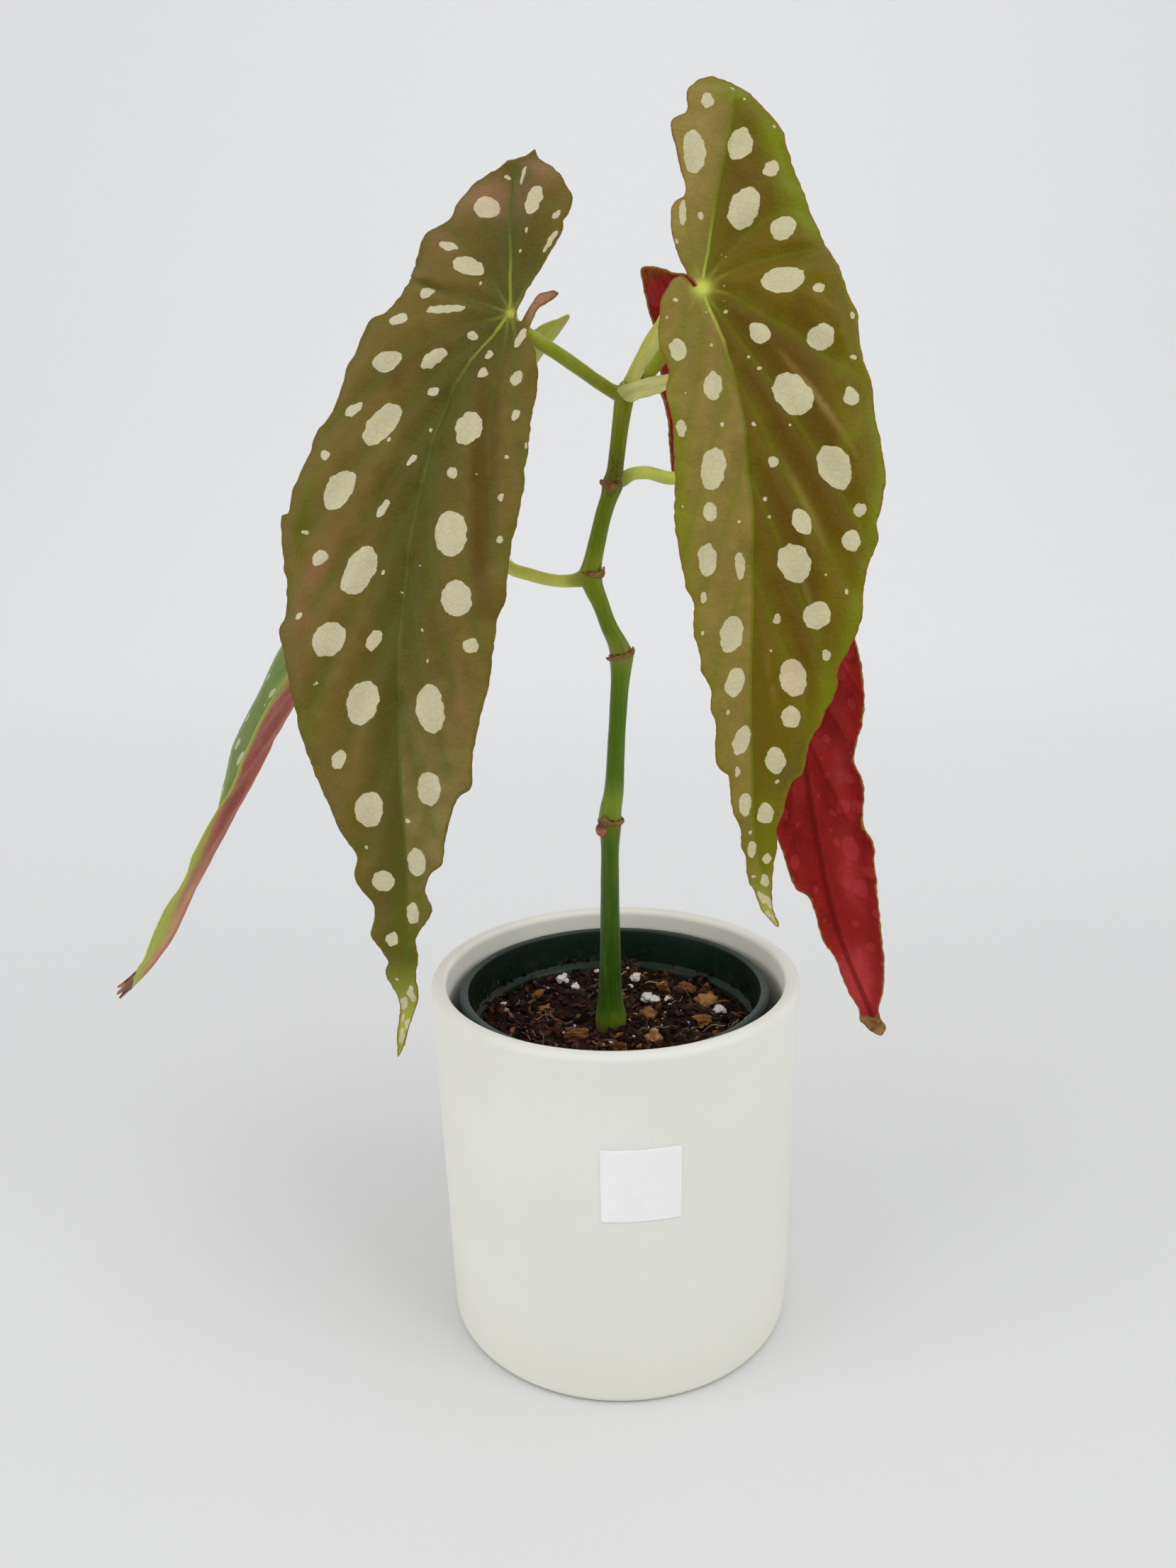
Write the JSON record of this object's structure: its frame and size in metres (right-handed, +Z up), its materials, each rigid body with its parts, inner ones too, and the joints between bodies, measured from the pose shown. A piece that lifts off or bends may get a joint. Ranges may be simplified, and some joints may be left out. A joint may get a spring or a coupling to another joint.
{
  "type": "potted houseplant",
  "caption": "Polka dot begonia with long spotted angel-wing leaves on one cane, in a green nursery pot inside a white ceramic pot.",
  "frame": {"origin": "centre of the ceramic pot's flat underside, on the surface it stands on", "axes": "+Z up along the pot's axis, -Y towards the side with the blank label and the two large front leaves, +X to the right seen from that side"},
  "size_m": [0.2511, 0.1244, 0.3758],
  "materials": {
    "matte_ceramic": "satin",
    "green_plastic": "satin",
    "potting_mix": "matte",
    "label_paper": "matte",
    "cane": "satin",
    "petiole": "satin",
    "leaf": "satin",
    "stipule": "satin",
    "dry_brown": "matte",
    "bark": "matte",
    "perlite": "matte"
  },
  "bodies": {
    "root": {"cachepot": "matte_ceramic", "nursery_pot": "green_plastic", "potting_mix": "potting_mix", "blank_label": "label_paper", "cane": "cane", "petiole_front_left": "petiole", "petiole_front_right": "petiole", "petiole_back_right": "petiole", "petiole_back_left": "petiole", "leaf_front_left": "leaf", "leaf_front_right": "leaf", "leaf_back_right": "leaf", "leaf_back_left": "leaf", "stipule_upper": "stipule", "stipule_lower": "stipule", "dry_collar_1": "dry_brown", "dry_collar_2": "dry_brown", "dry_collar_3": "dry_brown", "dry_collar_4": "dry_brown", "dormant_bud": "dry_brown", "bark_chip_1": "bark", "bark_chip_2": "bark", "bark_chip_3": "bark", "bark_chip_4": "bark", "bark_chip_5": "bark", "bark_chip_6": "bark", "bark_chip_7": "bark", "bark_chip_8": "bark", "bark_chip_9": "bark", "bark_chip_10": "bark", "perlite_1": "perlite", "perlite_2": "perlite", "perlite_3": "perlite", "perlite_4": "perlite", "perlite_5": "perlite", "perlite_6": "perlite"}
  },
  "joints": []
}
